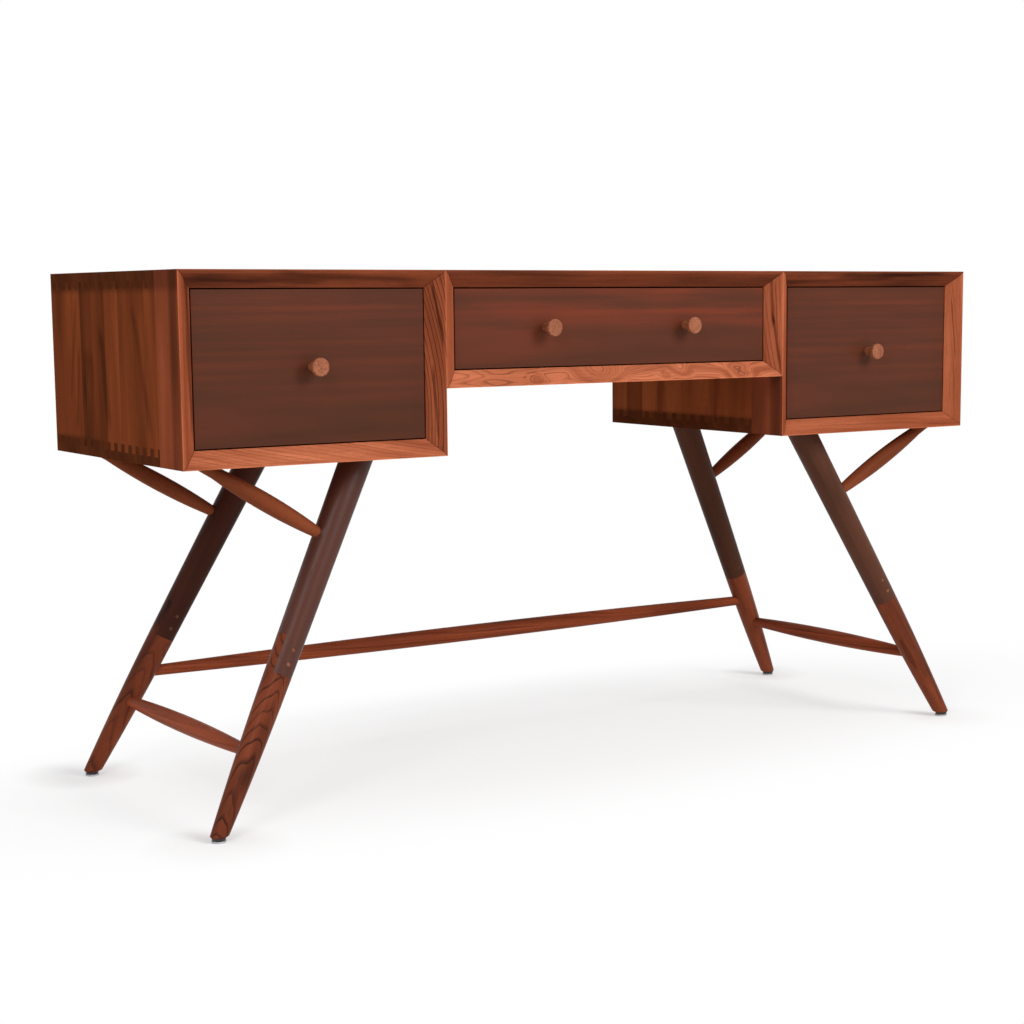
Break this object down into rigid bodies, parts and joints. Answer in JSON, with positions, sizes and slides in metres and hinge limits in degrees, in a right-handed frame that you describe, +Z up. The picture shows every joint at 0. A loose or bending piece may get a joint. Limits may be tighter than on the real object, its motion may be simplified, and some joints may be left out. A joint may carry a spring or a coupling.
{
  "type": "campaign desk",
  "caption": "Wide wooden writing desk: drawer boxes with mitred, bevelled fronts and finger-jointed sides on splayed, spliced legs with turned braces and stretchers.",
  "frame": {"origin": "on the floor under the middle of the desk's plan", "axes": "+X along the desk to the sitter's right, -Y towards the sitter, +Z up"},
  "size_m": [1.42, 0.4834, 0.76],
  "materials": {
    "carcass_wood": "satin oil finish",
    "frame_wood": "satin oil finish",
    "stained_drawer_wood": "dark stain under satin lacquer",
    "stained_leg_wood": "dark stain under satin lacquer",
    "leg_wood": "satin oil finish",
    "spindle_wood": "satin oil finish",
    "knob_wood": "satin oil finish",
    "peg_wood": "satin oil finish",
    "drawer_box_wood": "bare planed wood",
    "glide_plastic": "moulded",
    "pad_nylon": "moulded",
    "steel": "zinc plated"
  },
  "bodies": {
    "frame": {"box_connectors": "steel", "centre_back_panel": "carcass_wood", "centre_bottom_board": "carcass_wood", "centre_drawer_runners": "drawer_box_wood", "centre_front_frame": "frame_wood", "centre_left_side": "carcass_wood", "centre_right_side": "carcass_wood", "centre_top_board": "carcass_wood", "foot_glides": "glide_plastic", "front_left_brace": "spindle_wood", "front_left_leg_lower": "leg_wood", "front_left_leg_upper": "stained_leg_wood", "front_right_brace": "spindle_wood", "front_right_leg_lower": "leg_wood", "front_right_leg_upper": "stained_leg_wood", "glide_pads": "pad_nylon", "left_back_panel": "carcass_wood", "left_bottom_board": "carcass_wood", "left_drawer_runners": "drawer_box_wood", "left_front_frame": "frame_wood", "left_inner_side": "carcass_wood", "left_outer_side": "carcass_wood", "left_side_stretcher": "spindle_wood", "left_top_board": "carcass_wood", "leg_pegs": "peg_wood", "long_stretcher": "spindle_wood", "rear_left_brace": "spindle_wood", "rear_left_leg_lower": "leg_wood", "rear_left_leg_upper": "stained_leg_wood", "rear_right_brace": "spindle_wood", "rear_right_leg_lower": "leg_wood", "rear_right_leg_upper": "stained_leg_wood", "right_back_panel": "carcass_wood", "right_bottom_board": "carcass_wood", "right_drawer_runners": "drawer_box_wood", "right_front_frame": "frame_wood", "right_inner_side": "carcass_wood", "right_outer_side": "carcass_wood", "right_side_stretcher": "spindle_wood", "right_top_board": "carcass_wood"},
    "left_drawer": {"left_drawer_back": "drawer_box_wood", "left_drawer_bottom": "drawer_box_wood", "left_drawer_front": "stained_drawer_wood", "left_drawer_sides": "drawer_box_wood", "left_knob": "knob_wood", "left_knob_screws": "steel"},
    "centre_drawer": {"centre_drawer_back": "drawer_box_wood", "centre_drawer_bottom": "drawer_box_wood", "centre_drawer_front": "stained_drawer_wood", "centre_drawer_sides": "drawer_box_wood", "centre_knob_screws": "steel", "centre_left_knob": "knob_wood", "centre_right_knob": "knob_wood"},
    "right_drawer": {"right_drawer_back": "drawer_box_wood", "right_drawer_bottom": "drawer_box_wood", "right_drawer_front": "stained_drawer_wood", "right_drawer_sides": "drawer_box_wood", "right_knob": "knob_wood", "right_knob_screws": "steel"}
  },
  "joints": [
    {"name": "left_drawer_slide", "type": "slide", "parent": "frame", "child": "left_drawer", "axis": [0, -1, 0], "range_m": [0, 0.28]},
    {"name": "centre_drawer_slide", "type": "slide", "parent": "frame", "child": "centre_drawer", "axis": [0, -1, 0], "range_m": [0, 0.28]},
    {"name": "right_drawer_slide", "type": "slide", "parent": "frame", "child": "right_drawer", "axis": [0, -1, 0], "range_m": [0, 0.28]}
  ]
}
